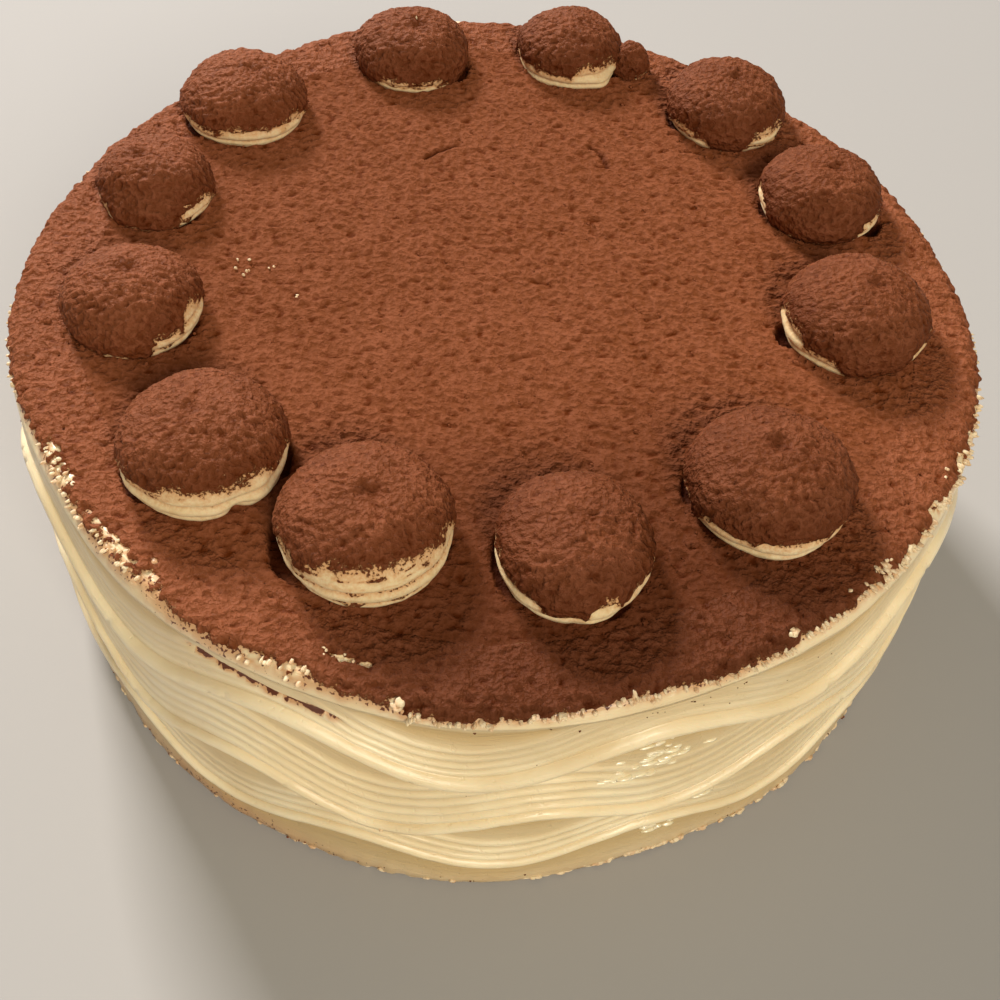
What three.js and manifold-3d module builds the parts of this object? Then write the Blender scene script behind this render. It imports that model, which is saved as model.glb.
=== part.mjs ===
// A whole round tiramisu cake: a tall body frosted in cream, its side combed in three
// overlapping bands of wavy ridges, its flat top under cocoa, and twelve piped mounds of
// cream standing in a ring on the top, with one stray drop of cream beside the eleventh.
// Millimetres, +Z up, origin at the centre of the base, front of the cake towards -Y.

import * as THREE from 'three';
import { mergeVertices } from 'three/addons/utils/BufferGeometryUtils.js';
import Module from 'manifold-3d';

const wasm = await Module();
wasm.setup();

// ---- Driving dimensions: millimetres, and degrees counted from +X towards +Y ----

const CAKE_RADIUS = 130;
const CAKE_HEIGHT = 90.4;
const AROUND = 72;               // facets round the cake

// The frosting is spread by hand, so its plan is not a true circle
const LOBES = [
  { lobes: 2, depth: 0.8, crestAt: -63 },
  { lobes: 3, depth: 1.1, crestAt: -13 },
  { lobes: 4, depth: 0.8, crestAt: 0 },
  { lobes: 5, depth: 0.5, crestAt: -34 },
  { lobes: 9, depth: 0.5, crestAt: -8 },
];

const BASE_ROUND = 1.2;          // the small rounding where the frosting meets the base
const SKIRT_TOP = 11;            // the plain strip under the combed bands
const SHOULDER = 5;              // rounding between the side and the top
const SHOULDER_STEPS = 4;

// The side leans outward a little towards the top, by its mean and more in some directions
const FLARE = 1.1;
const FLARE_LOBES = [
  { lobes: 1, depth: 1.0, crestAt: 110 },
  { lobes: 2, depth: 0.4, crestAt: -50 },
  { lobes: 3, depth: 0.75, crestAt: 39 },
];

// At the back the rim was left standing higher than the top
const RIM_RISE = { height: 2.1, at: 110, spread: 32, fadesAt: 97 };

// Bands of comb strokes, from the lowest to the highest. A band's lower edge is a lip that
// stands proud of what it covers, and its ridges run parallel above it.
const BANDS = [
  { lip: 17, ridges: 2, waves: 11, crestAt: 290.2, rise: 4.2 },
  { lip: 35, ridges: 5, waves: 11, crestAt: 277.4, rise: 5.2 },
  { lip: 65, ridges: 3, waves: 9, crestAt: 289.5, rise: 6.4 },
];
const RIDGE_PITCH = 3.8;
const RIDGE_DEPTH = 1.1;
const LIP_DEPTH = 2.0;
const LIP_HEIGHT = 3.4;
const THINNEST_ROW = 0.7;        // a stroke that another one covers is squeezed to this

// The top: rings of the facets, and how much the spread surface rolls
const TOP_RINGS = [119, 97, 70, 38];
const TOP_ROLL = 0.5;

// The mounds, in order round the top: place on the top, width along the ring, depth across
// it, height
const MOUNDS = [
  { name: 'mound_01', at: 137.8, out: 110.5, width: 37.6, depth: 36.6, height: 17.0 },
  { name: 'mound_02', at: 162.0, out: 105.7, width: 32.4, depth: 31.8, height: 15.6 },
  { name: 'mound_03', at: 190.0, out: 97.7, width: 36.1, depth: 36.8, height: 17.5 },
  { name: 'mound_04', at: 223.6, out: 94.7, width: 40.9, depth: 40.9, height: 19.3 },
  { name: 'mound_05', at: 252.4, out: 90.2, width: 41.2, depth: 42.2, height: 19.8 },
  { name: 'mound_06', at: 283.5, out: 91.2, width: 36.8, depth: 39.8, height: 18.6 },
  { name: 'mound_07', at: 316.2, out: 94.7, width: 39.9, depth: 41.6, height: 19.6 },
  { name: 'mound_08', at: 356.9, out: 96.7, width: 39.2, depth: 39.2, height: 18.2 },
  { name: 'mound_09', at: 26.7, out: 103.0, width: 36.2, depth: 35.2, height: 16.4 },
  { name: 'mound_10', at: 52.6, out: 109.6, width: 36.5, depth: 36.1, height: 16.9 },
  { name: 'mound_11', at: 81.3, out: 114.2, width: 33.4, depth: 33.0, height: 16.0 },
  { name: 'mound_12', at: 107.4, out: 111.4, width: 36.2, depth: 34.4, height: 16.2 },
];
const STRAY_DROP = { name: 'mound_11_drop', at: 71.2, out: 115.3, width: 11.5, depth: 10, height: 11 };

const MOUND_AROUND = 16;
const MOUND_WIDEST = 0.32;       // share of the height where a mound is widest
const MOUND_UNDERCUT = 0.1;      // share of the radius that a mound draws in at its foot
const MOUND_FULLNESS = 2.2;      // 2 is an ellipse; more is flatter on top
const MOUND_UPPER_STEPS = 5;
const MOUND_SUNK = 1.0;          // how far a mound's foot has settled below the top
const TIP_HEIGHT = 0.06;         // the nozzle's little tip, as a share of the height
const GAP = 0.3;                 // between a mound and the surface that carries it

// ---- Materials ----

const creamMaterial = () => new THREE.MeshStandardMaterial({
  color: new THREE.Color().setRGB(0.87, 0.77, 0.6, THREE.SRGBColorSpace),
  roughness: 0.5,
  metalness: 0,
});

const cocoaMaterial = () => new THREE.MeshStandardMaterial({
  color: new THREE.Color().setRGB(0.5, 0.29, 0.18, THREE.SRGBColorSpace),
  roughness: 0.95,
  metalness: 0,
});

// ---- Helpers ----

const { cos, sin, PI } = Math;
const radians = THREE.MathUtils.degToRad;
const shoulderFoot = CAKE_HEIGHT - SHOULDER;

// Turns a profile of { radius, height } points into a closed round body, after `sculpt` has
// moved each point: it gets the angle, the profile point and its row, and returns the same.
function roundBody(profile, around, sculpt) {
  const points = profile.map((p) => new THREE.Vector2(p.radius, p.height));
  const geometry = new THREE.LatheGeometry(points, around);
  const position = geometry.getAttribute('position');
  for (let column = 0; column <= around; column += 1) {
    const angle = (column % around) * (2 * PI / around);
    profile.forEach((point, row) => {
      const { radius, height } = sculpt(angle, point, row);
      const index = column * profile.length + row;
      position.setXYZ(index, radius * cos(angle), radius * sin(angle), height);
    });
  }
  geometry.deleteAttribute('normal');
  geometry.deleteAttribute('uv');
  return turnOutward(mergeVertices(geometry, 1e-4));
}

// Reverses the triangles of a closed geometry whose faces point inward.
function turnOutward(geometry) {
  const position = geometry.getAttribute('position');
  const index = geometry.getIndex();
  const [a, b, c] = [new THREE.Vector3(), new THREE.Vector3(), new THREE.Vector3()];
  let volume = 0;
  for (let i = 0; i < index.count; i += 3) {
    a.fromBufferAttribute(position, index.getX(i));
    b.fromBufferAttribute(position, index.getX(i + 1));
    c.fromBufferAttribute(position, index.getX(i + 2));
    volume += a.dot(b.cross(c));
  }
  if (volume < 0) {
    for (let i = 0; i < index.count; i += 3) {
      const first = index.getX(i);
      index.setX(i, index.getX(i + 2));
      index.setX(i + 2, first);
    }
  }
  return geometry;
}

const toSolid = (geometry) => new wasm.Manifold(new wasm.Mesh({
  numProp: 3,
  vertProperties: geometry.getAttribute('position').array.slice(),
  triVerts: new Uint32Array(geometry.getIndex().array),
}));

function toGeometry(solid) {
  const mesh = solid.getMesh();
  const geometry = new THREE.BufferGeometry();
  geometry.setAttribute('position', new THREE.BufferAttribute(mesh.vertProperties, 3));
  geometry.setIndex(new THREE.BufferAttribute(mesh.triVerts, 1));
  return geometry;
}

function namedMesh(name, geometry, material) {
  geometry.computeVertexNormals();
  const mesh = new THREE.Mesh(geometry, material);
  mesh.name = name;
  return mesh;
}

// ---- The cake ----

const sumOfLobes = (list, angle) => list.reduce(
  (sum, { lobes, depth, crestAt }) => sum + depth * cos(lobes * (angle - radians(crestAt))),
  0,
);

// How far the hand-spread outline stands outside the true circle at an angle and a height.
function outline(angle, height) {
  const share = Math.min(height / shoulderFoot, 1) ** 2;
  return sumOfLobes(LOBES, angle) + share * (FLARE + sumOfLobes(FLARE_LOBES, angle));
}

// How much the rim stands above the top at an angle, on the shoulder and fading inward.
function rimRise(angle, radius) {
  const { height, at, spread, fadesAt } = RIM_RISE;
  const away = Math.atan2(sin(angle - radians(at)), cos(angle - radians(at)));
  const inward = THREE.MathUtils.clamp((radius - fadesAt) / (CAKE_RADIUS - SHOULDER - fadesAt), 0, 1);
  return height * Math.exp(-((away / radians(spread)) ** 2)) * inward;
}

// How much a comb stroke of a band rises above its mean height at an angle.
const strokeRise = ({ waves, crestAt, rise }, angle) => rise * cos(waves * (angle - radians(crestAt)));

// The rows of one band, from its lip upward: a crest and a groove for each ridge.
function bandRows(band) {
  const rows = [
    { height: band.lip, out: -LIP_DEPTH / 2, band },
    { height: band.lip + LIP_HEIGHT / 2, out: LIP_DEPTH / 2, band },
    { height: band.lip + LIP_HEIGHT, out: -RIDGE_DEPTH / 2, band },
  ];
  for (let ridge = 0; ridge < band.ridges; ridge += 1) {
    const foot = band.lip + LIP_HEIGHT + ridge * RIDGE_PITCH;
    rows.push({ height: foot + RIDGE_PITCH / 2, out: RIDGE_DEPTH / 2, band });
    rows.push({ height: foot + RIDGE_PITCH, out: -RIDGE_DEPTH / 2, band });
  }
  return rows;
}

// Every row of the side from the base to the shoulder's foot. `fixed` rows keep their height.
function sideRows() {
  return [
    { height: 0, out: -BASE_ROUND, fixed: true },
    { height: BASE_ROUND, out: 0, fixed: true },
    { height: SKIRT_TOP, out: -0.4 },
    ...BANDS.flatMap(bandRows),
  ];
}

const side = sideRows();

// The heights of all side rows at an angle. A higher stroke was combed last, so it covers
// the ones below it: these are pushed down as far as it reaches.
function sideHeights(angle) {
  const heights = side.map((row) => row.height + (row.band ? strokeRise(row.band, angle) : 0));
  let ceiling = shoulderFoot;
  for (let row = side.length - 1; row >= 0; row -= 1) {
    heights[row] = side[row].fixed ? side[row].height : Math.min(heights[row], ceiling - THINNEST_ROW);
    ceiling = heights[row];
  }
  return heights;
}

// The gentle roll of the spread top.
const topRoll = (angle, radius) => TOP_ROLL * (radius / CAKE_RADIUS) * sin(3 * angle + radius / 31);

function cakeProfile() {
  const profile = [{ radius: 0, height: 0 }];
  side.forEach((row, index) => profile.push({ radius: CAKE_RADIUS + row.out, height: row.height, index }));
  for (let step = 0; step <= SHOULDER_STEPS; step += 1) {
    const turn = (PI / 2) * (step / SHOULDER_STEPS);
    profile.push({
      radius: CAKE_RADIUS - SHOULDER * (1 - cos(turn)),
      height: shoulderFoot + SHOULDER * sin(turn),
    });
  }
  TOP_RINGS.forEach((radius) => profile.push({ radius, height: CAKE_HEIGHT, top: true }));
  profile.push({ radius: 0, height: CAKE_HEIGHT });
  return profile;
}

function cakeGeometry() {
  return roundBody(cakeProfile(), AROUND, (angle, point) => {
    const onSide = point.index !== undefined;
    const height = onSide ? sideHeights(angle)[point.index] : point.height;
    const radius = point.radius * (1 + outline(angle, height) / CAKE_RADIUS);
    if (onSide || height === 0) {
      return { radius, height };
    }
    const roll = point.top ? topRoll(angle, point.radius) : 0;
    const lifted = (point.height - shoulderFoot) / SHOULDER;
    return { radius, height: height + roll + lifted * rimRise(angle, point.radius) };
  });
}

// ---- The mounds ----

// Profile of a piped mound: a foot drawn in, the widest ring, a full dome and a small tip.
function moundProfile({ width, height }) {
  const radius = width / 2;
  const widest = MOUND_WIDEST * height;
  const rise = height * (1 - TIP_HEIGHT) - widest;
  const profile = [
    { radius: 0, height: -MOUND_SUNK },
    { radius: radius * (1 - MOUND_UNDERCUT), height: -MOUND_SUNK },
    { radius: radius * (1 - MOUND_UNDERCUT / 3), height: widest / 2 },
  ];
  for (let step = 0; step < MOUND_UPPER_STEPS; step += 1) {
    const turn = (PI / 2) * (step / MOUND_UPPER_STEPS);
    profile.push({
      radius: radius * cos(turn) ** (2 / MOUND_FULLNESS),
      height: widest + rise * sin(turn) ** (2 / MOUND_FULLNESS),
    });
  }
  profile.push({ radius: 0, height });
  return profile;
}

// A mound in its place on the top.
function moundGeometry(place) {
  const geometry = roundBody(moundProfile(place), MOUND_AROUND, (angle, point) => point);
  const angle = radians(place.at);
  geometry.scale(place.depth / place.width, 1, 1);
  geometry.rotateZ(angle);
  geometry.translate(place.out * cos(angle), place.out * sin(angle), CAKE_HEIGHT);
  return geometry;
}

// A mound cut to what it rests on or leans against.
function moundMesh(place, neighbours) {
  const cut = neighbours.reduce(
    (solid, neighbour) => solid.subtract(neighbour),
    toSolid(moundGeometry(place)),
  );
  return namedMesh(place.name, toGeometry(cut), cocoaMaterial());
}

// The same place, larger all round by the gap that touching pieces keep.
const grown = (place) => ({
  ...place,
  width: place.width + 2 * GAP,
  depth: place.depth + 2 * GAP,
  height: place.height + GAP,
});

// ---- Assembly ----

const cake = cakeGeometry();
const carrier = toSolid(cake).translate([0, 0, GAP]);

const group = new THREE.Group();
group.add(namedMesh('cake', cake, creamMaterial()));
MOUNDS.forEach((place) => group.add(moundMesh(place, [carrier])));

const leansOn = MOUNDS.find((place) => place.name === 'mound_11');
group.add(moundMesh(STRAY_DROP, [carrier, toSolid(moundGeometry(grown(leansOn)))]));

export default group;
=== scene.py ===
"""The looks of a whole round tiramisu cake: combed cream sides, cocoa on top, twelve piped mounds."""
import math

import bmesh
import bpy
import numpy as np
from mathutils import Matrix, Vector


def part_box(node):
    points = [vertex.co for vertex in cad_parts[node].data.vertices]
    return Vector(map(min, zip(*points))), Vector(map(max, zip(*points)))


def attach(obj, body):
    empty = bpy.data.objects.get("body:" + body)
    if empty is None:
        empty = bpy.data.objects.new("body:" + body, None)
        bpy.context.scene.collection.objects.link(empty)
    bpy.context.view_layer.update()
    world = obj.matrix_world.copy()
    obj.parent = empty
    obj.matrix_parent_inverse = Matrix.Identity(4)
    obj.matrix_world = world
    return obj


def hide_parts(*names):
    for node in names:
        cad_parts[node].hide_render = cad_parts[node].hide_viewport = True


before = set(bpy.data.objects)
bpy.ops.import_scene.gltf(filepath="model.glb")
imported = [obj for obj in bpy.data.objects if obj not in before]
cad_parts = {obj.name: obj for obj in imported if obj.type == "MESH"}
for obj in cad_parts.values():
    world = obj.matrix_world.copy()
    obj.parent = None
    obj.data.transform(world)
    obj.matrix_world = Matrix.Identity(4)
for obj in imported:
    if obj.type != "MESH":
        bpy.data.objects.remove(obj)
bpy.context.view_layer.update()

# ---- Sizes, in millimetres and degrees; angles run from +X towards +Y, and the front is at 270 ----

MM = 0.001
CAKE_RADIUS = 130
CAKE_HEIGHT = 90.4
SHOULDER = 5  # rounding between the side and the top
SHOULDER_FOOT = CAKE_HEIGHT - SHOULDER
SHOULDER_ARC = SHOULDER * math.pi / 2
FLAT_REACH = CAKE_RADIUS - SHOULDER + SHOULDER_ARC  # along the surface from its foot to the middle

# The frosting is spread by hand. Its plan stands outside a circle by lobes: (number, depth,
# direction of a crest), and by more of them towards the top.
LOBES = [(2, 0.8, -63), (3, 1.1, -13), (4, 0.8, 0), (5, 0.5, -34), (9, 0.5, -8)]
FLARE = 1.1
FLARE_LOBES = [(1, 1, 110), (2, 0.4, -50), (3, 0.75, 39)]

# The rim rises at the back: height, direction, spread, and the radius where it has faded
RIM_RISE, RISE_AT, RISE_SPREAD, RISE_FADES_AT = 2.1, 110, 32, 104

# Bands of comb strokes, lowest first; `clear` is where the comb bit, by direction and spread
BANDS = [
    dict(
        lip=17, lip_tall=3, lip_deep=1.5, ridges=3, pitch=3.9, deep=1.3, lean=0.4,
        waves=11, crest_at=290.2, rise=4.2,
        clear=[(268, 26), (330, 14), (20, 25), (75, 20), (130, 26), (185, 16)],
    ),
    dict(
        lip=35, lip_tall=3.3, lip_deep=1.8, ridges=5, pitch=4.4, deep=1.6, lean=0.5,
        waves=11, crest_at=277.4, rise=5,
        clear=[(254, 15), (276, 15), (345, 24), (45, 26), (100, 22), (160, 28)],
    ),
    dict(
        lip=65, lip_tall=4.4, lip_deep=2.3, ridges=4, pitch=3.4, deep=1.3, lean=0.6,
        waves=9, crest_at=289.5, rise=6.6,
        clear=[(262, 13), (8, 22), (62, 18), (118, 25), (172, 14)],
    ),
]
# One ridge from trough to trough: shares of the pitch and of the depth. Its crest is high up.
RIDGE = [(0, 0), (0.2, 0.36), (0.45, 0.78), (0.68, 1), (0.86, 0.7)]
FAINTEST = 0.26  # share of the ridges' depth elsewhere

AROUND = 690  # columns of points round the cream
AROUND_RIM = 1150  # and round the cocoa at the rim


# ---- Noise, arrays and meshes ----

class Noise:
    """Smooth noise in space, about -1 to 1, always the same for one seed."""

    CELLS = 48

    def __init__(self, seed):
        arrows = np.random.default_rng(seed).normal(size=(self.CELLS,) * 3 + (3,))
        self.arrows = arrows / np.linalg.norm(arrows, axis=-1, keepdims=True)

    def __call__(self, points, size, octaves=1):
        """Noise with features about `size` across, and finer ones at half the strength."""
        layers = (
            self.layer(points * (2 ** octave / size) + 17.3 * octave) / 2 ** octave
            for octave in range(octaves)
        )
        return 1.5 * sum(layers)

    def layer(self, points):
        low = np.floor(points).astype(int)
        inside = points - low
        ease = inside ** 3 * (inside * (inside * 6 - 15) + 10)
        value = 0
        for corner in np.ndindex(2, 2, 2):
            cell = np.moveaxis((low + corner) % self.CELLS, -1, 0)
            weight = np.prod(np.where(np.array(corner) == 1, ease, 1 - ease), axis=-1)
            value = value + weight * np.sum(self.arrows[tuple(cell)] * (inside - corner), axis=-1)
        return value


def smooth_step(value, low=0, high=1):
    t = np.clip((value - low) / (high - low), 0, 1)
    return t * t * (3 - 2 * t)


def angle_from(angle, degrees):
    """How far angle, in radians, lies from a direction in degrees, from -180 to 180."""
    return (np.degrees(angle) - degrees + 180) % 360 - 180


def hill(distance, width):
    """1 where distance is 0, falling smoothly to nothing at about twice the width."""
    return np.exp(-((distance / width) ** 2))


def towards(angle, degrees, spread):
    """1 in one direction, falling smoothly to both sides."""
    return hill(angle_from(angle, degrees), spread)


def on_circle(angle, value, radius=CAKE_RADIUS):
    """Points round a circle, with value as their third coordinate."""
    angle, value = np.broadcast_arrays(angle, value)
    return np.stack([radius * np.cos(angle), radius * np.sin(angle), value], axis=-1)


def ring_angles(count):
    return np.arange(count) * (2 * math.pi / count)


def grid_faces(rows, columns, closed=False):
    """Faces between rings of points, each above or inside the last; closed adds last to first."""
    row, column = np.meshgrid(np.arange(rows - 1 + closed) * columns, np.arange(columns), indexing="ij")
    beside = (column + 1) % columns
    above = (row + columns) % (rows * columns)
    corners = [row + column, row + beside, above + beside, above + column]
    return np.stack(corners, axis=-1).reshape(-1, 4)


def shell_faces(rows, columns):
    """Faces of a closed shell: rows of points, then its upper and its lower middle point."""
    ring = np.arange(columns)
    beside = np.roll(ring, -1)
    last = (rows - 1) * columns
    upper = np.full(columns, rows * columns)
    return [
        grid_faces(rows, columns),
        np.stack([last + ring, last + beside, upper], axis=-1),
        np.stack([beside, ring, upper + 1], axis=-1),
    ]


def make_mesh(name, points, faces, **attributes):
    """A smooth mesh from points in millimetres, lists of faces and a number for each point."""
    mesh = bpy.data.meshes.new(name)
    polygons = [face for part in faces for face in part.tolist()]
    mesh.from_pydata((np.asarray(points) * MM).tolist(), [], polygons)
    mesh.shade_smooth()
    for key, values in attributes.items():
        kind, field = ("FLOAT_VECTOR", "vector") if values.ndim > 1 else ("FLOAT", "value")
        layer = mesh.attributes.new(key, kind, "POINT")
        layer.data.foreach_set(field, values.astype(np.float32).ravel())
    return mesh


def add_object(name, data):
    """Puts a mesh, a camera or a light in the scene."""
    thing = bpy.data.objects.new(name, data)
    bpy.context.scene.collection.objects.link(thing)
    return thing


def add_piece(mesh, material, node="cake"):
    """Puts a mesh on the cake's body in place of a CAD node."""
    mesh.materials.append(material)
    piece = add_object(mesh.name, mesh)
    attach(piece, "root")
    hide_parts(node)


# ---- Shape of the cream ----

wander = Noise(11)
lumps = Noise(12)
teeth = Noise(13)


def sum_of_lobes(lobes, angle):
    return sum(depth * np.cos(count * (angle - math.radians(crest))) for count, depth, crest in lobes)


def outline(angle, height):
    """How far the hand-spread outline stands outside the true circle."""
    share = np.clip(height / SHOULDER_FOOT, 0, 1) ** 2
    return sum_of_lobes(LOBES, angle) + share * (FLARE + sum_of_lobes(FLARE_LOBES, angle))


def rim_rise(angle, radius):
    inward = smooth_step(radius, RISE_FADES_AT, CAKE_RADIUS - SHOULDER)
    return RIM_RISE * towards(angle, RISE_AT, RISE_SPREAD) * inward


def stroke_rise(band, angle):
    """How much a band's stroke rises above its mean height: in waves that wander a little."""
    swing = band["rise"] * np.cos(band["waves"] * (angle - math.radians(band["crest_at"])))
    return swing + 0.8 * wander(on_circle(angle, band["lip"] * 9), 38, 2)


# Where the comb tore the cream and left it wet: direction, height, and how far each way
TORN = [(290.5, 61, 3.6, 6), (286.5, 54, 2, 3), (293, 14.5, 1.9, 2.6), (298, 29, 1.2, 2)]
TORN_SLANT = 0.8  # its curls lie lower by this for each degree


def torn(angle, height):
    """1 in the middle of a torn patch, fading out round it."""
    return np.clip(sum(
        towards(angle, at, wide) * hill(height - high, tall) for at, high, wide, tall in TORN
    ), 0, 1)


def ridge_strength(band, angle, height):
    """How clearly the comb's ridges show."""
    bite = sum(towards(angle, at, spread) ** 2 for at, spread in band["clear"])
    worked = FAINTEST + (1.05 - FAINTEST) * np.clip(1.15 * bite, 0, 1)
    return np.clip(worked + 0.12 * wander(on_circle(angle, height), 30, 2), 0.08, 1.2)


LIP_TURNS = np.radians([-90, -70, -45, -15, 20, 55, 85])  # the lip's rows, round half an ellipse
CREASE_AT, CREASE_DEEP = 1.06, 0.55  # above the lip, as a share of its height, and millimetres in
RIDGES_FROM = 1.18  # where the ridges start, as a share of the lip's height
RIDGES_FADE = 0.35  # how much shallower the highest are


def band_rows(band):
    """Height above the lip's foot, outward offset, and 1 on the lip, of each row of one band."""
    half = band["lip_tall"] / 2
    rows = [(half * (1 + math.sin(turn)), band["lip_deep"] * math.cos(turn), 1) for turn in LIP_TURNS]
    rows.append((CREASE_AT * band["lip_tall"], -CREASE_DEEP, 1))
    first = RIDGES_FROM * band["lip_tall"]
    for ridge in range(band["ridges"]):
        deep = band["deep"] * (1 - RIDGES_FADE * ridge / band["ridges"])
        for share, arch in RIDGE:
            rows.append((first + (ridge + share) * band["pitch"], deep * arch, 0))
    rows.append((first + band["ridges"] * band["pitch"], 0, 0))
    return np.array(rows)


TUCKED = -1.2  # how far a covered stroke lies under its cover
SMOOTH_DIP = -0.9  # how far the smooth stretch above a band's ridges lies in
ROW_GAP = 0.05  # between covered rows
PLAIN_SHARES = np.array([0.1, 0.25, 0.4, 0.55, 0.7, 0.85, 0.96])[:, None]
SKIRT_SHARES = np.array([0, 0.02, 0.1, 0.25, 0.45, 0.65, 0.85, 0.97])[:, None]
SKIRT_OUT = np.array([-1.6, -0.5, 0.1, 0, -0.4, -0.8, -1.1, TUCKED])[:, None]


def band_side(band, index, angle, ceiling):
    """Heights and outward offsets of one band and the smooth stretch above it."""
    above, out, lip = (column[:, None] for column in band_rows(band).T)
    stretch = 1 + 0.08 * wander(on_circle(angle, index * 50), 60)
    free = band["lip"] + stroke_rise(band, angle) + above * stretch
    free = free + 0.35 * (1 - lip) * wander(on_circle(angle, above * 3), 21, 2)
    limit = ceiling - ROW_GAP * np.arange(len(above), 0, -1)[:, None]
    height = np.minimum(free, limit)
    under = smooth_step(free - limit, 0, 2)
    under_a_lip = index < len(BANDS) - 1
    strength = np.where(lip > 0, 1, ridge_strength(band, angle, height))
    if not under_a_lip:
        strength = strength * smooth_step(ceiling - height, 0, 7)
    lean = band["lean"] * (1 - above / above.max()) ** 1.5
    out = (out * strength + lean) * (1 - under) + TUCKED * under_a_lip * under
    plain_height = height[-1] + (ceiling - height[-1]) * PLAIN_SHARES
    room = smooth_step(ceiling - height[-1], 0, 6)
    dip = np.sin(math.pi * PLAIN_SHARES * (0.5 if under_a_lip else 1))
    plain_out = SMOOTH_DIP * room * dip ** 2
    if under_a_lip:
        plain_out[-1] = TUCKED
    level = np.vstack([above, above[-1] + 9 * PLAIN_SHARES]) + 31 * index
    return np.vstack([height, plain_height]), np.vstack([out, plain_out]), level


def side_rows(angle):
    """Heights, outward offsets and levels along the strokes of the side's rows, base first.

    A higher stroke was combed last, so each band ends under the lip of the one above."""
    ceiling = np.full_like(angle, SHOULDER_FOOT)
    stacks = []
    for index in reversed(range(len(BANDS))):
        stacks.append(band_side(BANDS[index], index, angle, ceiling))
        ceiling = stacks[-1][0][0]
    stacks.append((SKIRT_SHARES * ceiling, SKIRT_OUT * np.ones_like(angle), -20 + 13 * SKIRT_SHARES))
    return (np.vstack(parts) for parts in zip(*reversed(stacks)))


# A groove under the rolled rim that has caught cocoa
GROOVE_AT, GROOVE_HALF = 248.5, 8.5  # degrees
GROOVE_HEIGHT, GROOVE_SLOPE, GROOVE_WIDE, GROOVE_DEEP = 80.8, -0.14, 1.15, 1.4


def groove(angle, height):
    """1 in the middle of the groove, fading out round it."""
    aside = angle_from(angle, GROOVE_AT)
    middle = GROOVE_HEIGHT + GROOVE_SLOPE * np.clip(aside, -12, 12)
    return smooth_step(GROOVE_HALF + 2 - np.abs(aside), 0, 4) * hill(height - middle, GROOVE_WIDE)


FOOT_LUMPS_AT, FOOT_LUMPS_TALL, FOOT_LUMPS_DEEP = 2.5, 2.4, 0.9  # heights and depth
CHIPPED_FROM, CHIPPED_FULLY = 1.4, 2.4  # how far out a lip's edge is chipped


def cream_relief(angle, height, out):
    """What the side has besides the comb's strokes: lumps, tears, the groove and chipped lips."""
    where = on_circle(angle, height)
    relief = 0.5 * wander(where, 55) + 0.16 * lumps(where, 9, 2)
    relief = relief + 0.7 * torn(angle, height) * lumps(where * [1, 1, 2.5], 6, 2)
    foot = hill(height - FOOT_LUMPS_AT, FOOT_LUMPS_TALL) * lumps(where, 3.6, 2)
    relief = relief - GROOVE_DEEP * groove(angle, height) + FOOT_LUMPS_DEEP * foot
    chips = smooth_step(teeth(where, 3), 0.5, 0.8)
    return relief - smooth_step(out, CHIPPED_FROM, CHIPPED_FULLY) * chips


def top_roll(angle, radius):
    """The gentle unevenness of the spread top."""
    where = on_circle(angle, 0, radius)
    return 0.5 * (radius / CAKE_RADIUS) * np.sin(3 * angle + radius / 31) + 0.45 * wander(where, 60)


def shoulder(angle, along, lift=0):
    """Points on the rim and the top, `along` millimetres inward from the shoulder's foot."""
    angle, along = np.broadcast_arrays(angle, along)
    turn = np.clip(along / SHOULDER, 0, math.pi / 2)
    inward = np.maximum(along - SHOULDER_ARC, 0)
    radius = CAKE_RADIUS - SHOULDER * (1 - np.cos(turn)) - inward + lift * np.cos(turn)
    risen = (top_roll(angle, radius) + rim_rise(angle, radius)) * smooth_step(along, 0, SHOULDER_ARC)
    radius = radius * (1 + outline(angle, CAKE_HEIGHT) / CAKE_RADIUS)
    height = SHOULDER_FOOT + SHOULDER * np.sin(turn) + risen + lift * np.sin(turn) + np.minimum(along, 0)
    return on_circle(angle, height, radius)


def top_relief(angle, along):
    """The cream's own unevenness on the top and the rim."""
    where = on_circle(angle, along * 1.5)
    return 0.25 * lumps(where, 12, 2) + 0.35 * hill(along - 5, 4) * lumps(where, 4, 2)


def rim_relief(angle, along):
    """The same, running into the unevenness of the side at the shoulder's foot."""
    foot = cream_relief(angle, SHOULDER_FOOT, 0)
    blend = smooth_step(along, 0, 3)
    return top_relief(angle, along) * blend + foot * (1 - blend)


# ---- Where the cocoa lies ----

# How far inward from the shoulder's foot the cocoa starts, by direction
COCOA_EDGE = {
    0: 1.6, 60: 1.2, 120: 1.2, 180: 1.5, 200: 2.3, 208: 3.6, 215: 3.8, 222: 4, 229: 4.6, 234: 5.6,
    239: 3.9, 244: 3.2, 250: 4.1, 256: 4.3, 262: 3.1, 265.5: 1.8, 271: 2.7, 281: 3.3, 290: 4.2, 294: 2.9,
    301: 3.1, 307: 3.5, 313: 4.4, 319: 4.1, 326: 3.8, 333: 3.4, 341: 2.5, 350: 2,
}
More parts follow.
